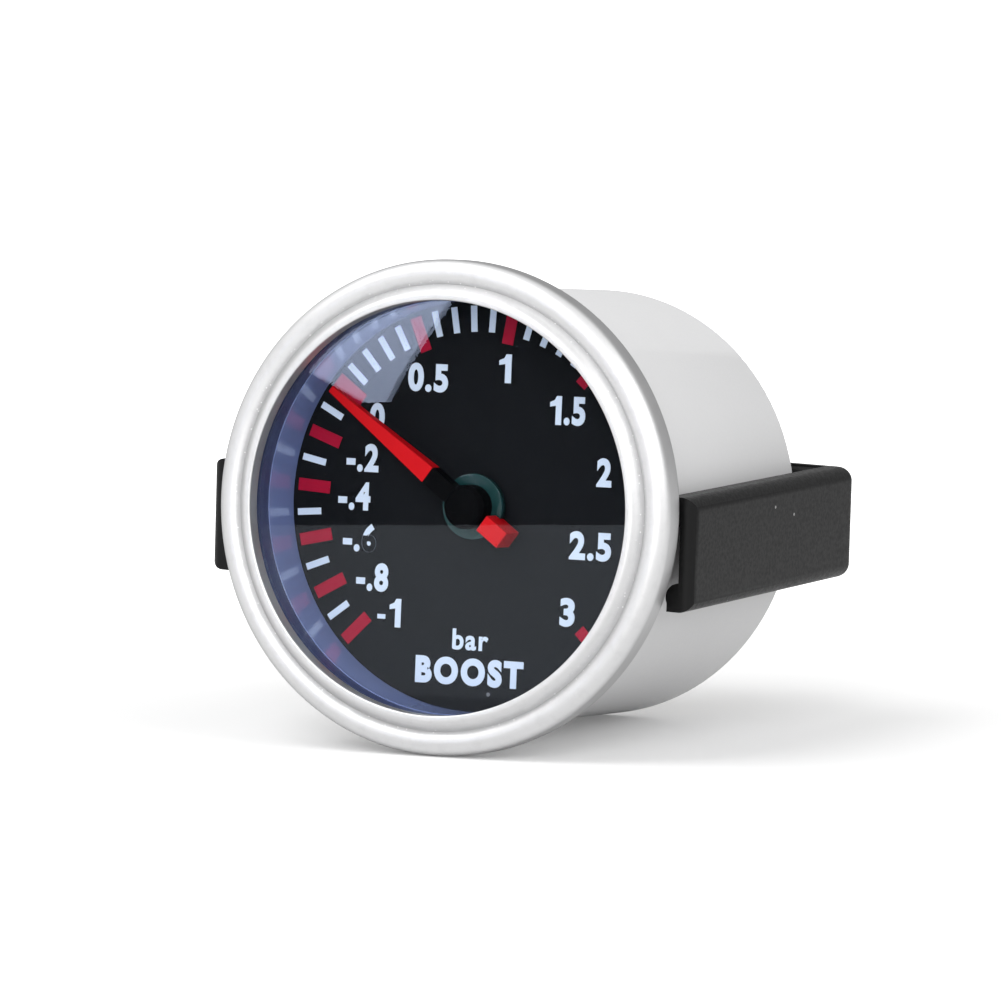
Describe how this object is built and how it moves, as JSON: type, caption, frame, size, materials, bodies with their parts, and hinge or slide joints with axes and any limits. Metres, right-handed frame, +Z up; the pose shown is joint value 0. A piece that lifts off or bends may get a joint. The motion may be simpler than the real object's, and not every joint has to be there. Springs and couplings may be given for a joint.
{
  "type": "boost gauge",
  "caption": "Round panel pressure gauge with a rolled bezel, flat glass, red pointer, geared Bourdon tube movement, rear hose nipple and a clamping U bracket.",
  "frame": {"origin": "on the gauge's axis, at the bezel's rear face, which seats on the panel", "axes": "+Y along the case's axis, from the dial to the hose nipple; +X to the right seen from the front; +Z up"},
  "size_m": [0.0661, 0.0652, 0.058],
  "materials": {
    "case_paint": "matt pale grey",
    "bezel_aluminium": "satin, brushed around",
    "lens_glass": "clear, polished",
    "gasket_rubber": "matt black",
    "shroud_plastic": "glossy blue-grey",
    "dial_black": "matt black print",
    "print_pale": "pale blue-white print",
    "print_red": "red print",
    "chamber_white": "matt white",
    "hub_black": "satin black",
    "pointer_red": "matt red",
    "guide_green": "dark green, clear",
    "steel": "turned steel",
    "brass": "machined brass",
    "spring_bronze": "drawn bronze strip",
    "tube_bronze": "drawn bronze",
    "zinc_steel": "bright zinc plate",
    "bracket_black": "satin black, moulded",
    "holder_black": "matt black",
    "bulb_glass": "clear",
    "tungsten": "drawn wire"
  },
  "bodies": {
    "case": {"case_shell": "case_paint", "bezel": "bezel_aluminium", "lens": "lens_glass", "lens_gasket": "gasket_rubber", "shroud_ring": "shroud_plastic", "dial_plate": "dial_black", "scale_minor_marks": "print_pale", "scale_major_marks": "print_red", "light_chamber": "chamber_white", "hairspring": "spring_bronze", "hairspring_stud": "brass", "movement_front_plate": "brass", "movement_back_plate": "brass", "movement_pillars": "brass", "plate_screws": "steel", "block_screws": "steel", "bourdon_tube": "tube_bronze", "socket_block": "brass", "inlet_fitting": "brass", "inlet_washer": "gasket_rubber", "damper_plug": "steel", "mounting_studs": "zinc_steel", "lamp_holder": "holder_black", "lamp_bulb": "bulb_glass", "lamp_filament": "tungsten"},
    "pointer": {"pointer_hub": "hub_black", "pointer_blade": "pointer_red", "pointer_tail": "pointer_red", "pointer_light_guide": "guide_green", "pinion_arbor": "steel", "hairspring_collet": "brass"},
    "sector": {"sector_gear": "brass", "sector_arbor": "steel", "sector_link_pin": "steel"},
    "link": {"link": "brass"},
    "tube_tip": {"tube_tip": "brass"},
    "bracket": {"bracket": "bracket_black", "washer_left": "zinc_steel", "washer_right": "zinc_steel"},
    "nut_left": {"nut_left": "zinc_steel"},
    "nut_right": {"nut_right": "zinc_steel"}
  },
  "joints": [
    {"name": "pointer_sweep", "type": "hinge", "parent": "case", "child": "pointer", "pos_m": [0, 0, 0], "axis": [0, -1, 0], "range_deg": [-189, 81], "stiffness_Nm_per_rad": 0.002, "deforming": ["hairspring"]},
    {"name": "sector_pivot", "type": "hinge", "parent": "case", "child": "sector", "pos_m": [0.01133, 0, -0.00528], "axis": [0, -1, 0], "range_deg": [-9.2, 21.2]},
    {"name": "link_hinge", "type": "hinge", "parent": "sector", "child": "link", "pos_m": [0.01254, 0, -0.01013], "axis": [0, -1, 0], "range_deg": [-21.2, 9.2]},
    {"name": "tip_slide", "type": "slide", "parent": "case", "child": "tube_tip", "axis": [0.9397, 0, 0.342], "range_m": [-0.00078, 0.00181], "deforming": ["bourdon_tube"]},
    {"name": "bracket_slide", "type": "slide", "parent": "case", "child": "bracket", "axis": [0, 1, 0], "range_m": [0, 0.0057]},
    {"name": "nut_left_turn", "type": "hinge", "parent": "bracket", "child": "nut_left", "pos_m": [-0.014, 0.0495, 0], "axis": [0, 1, 0], "range_deg": [0, 2932]},
    {"name": "nut_right_turn", "type": "hinge", "parent": "bracket", "child": "nut_right", "pos_m": [0.014, 0.0485, 0], "axis": [0, 1, 0], "range_deg": [0, 2932]}
  ],
  "couplings": [
    {"joint": "pointer_sweep", "follows": "tip_slide", "rad_per_m": -1820.7},
    {"joint": "sector_pivot", "follows": "tip_slide", "rad_per_m": 202.3},
    {"joint": "link_hinge", "follows": "tip_slide", "rad_per_m": -202.3},
    {"joint": "nut_left_turn", "follows": "bracket_slide", "rad_per_m": 8976},
    {"joint": "nut_right_turn", "follows": "bracket_slide", "rad_per_m": 8976}
  ]
}
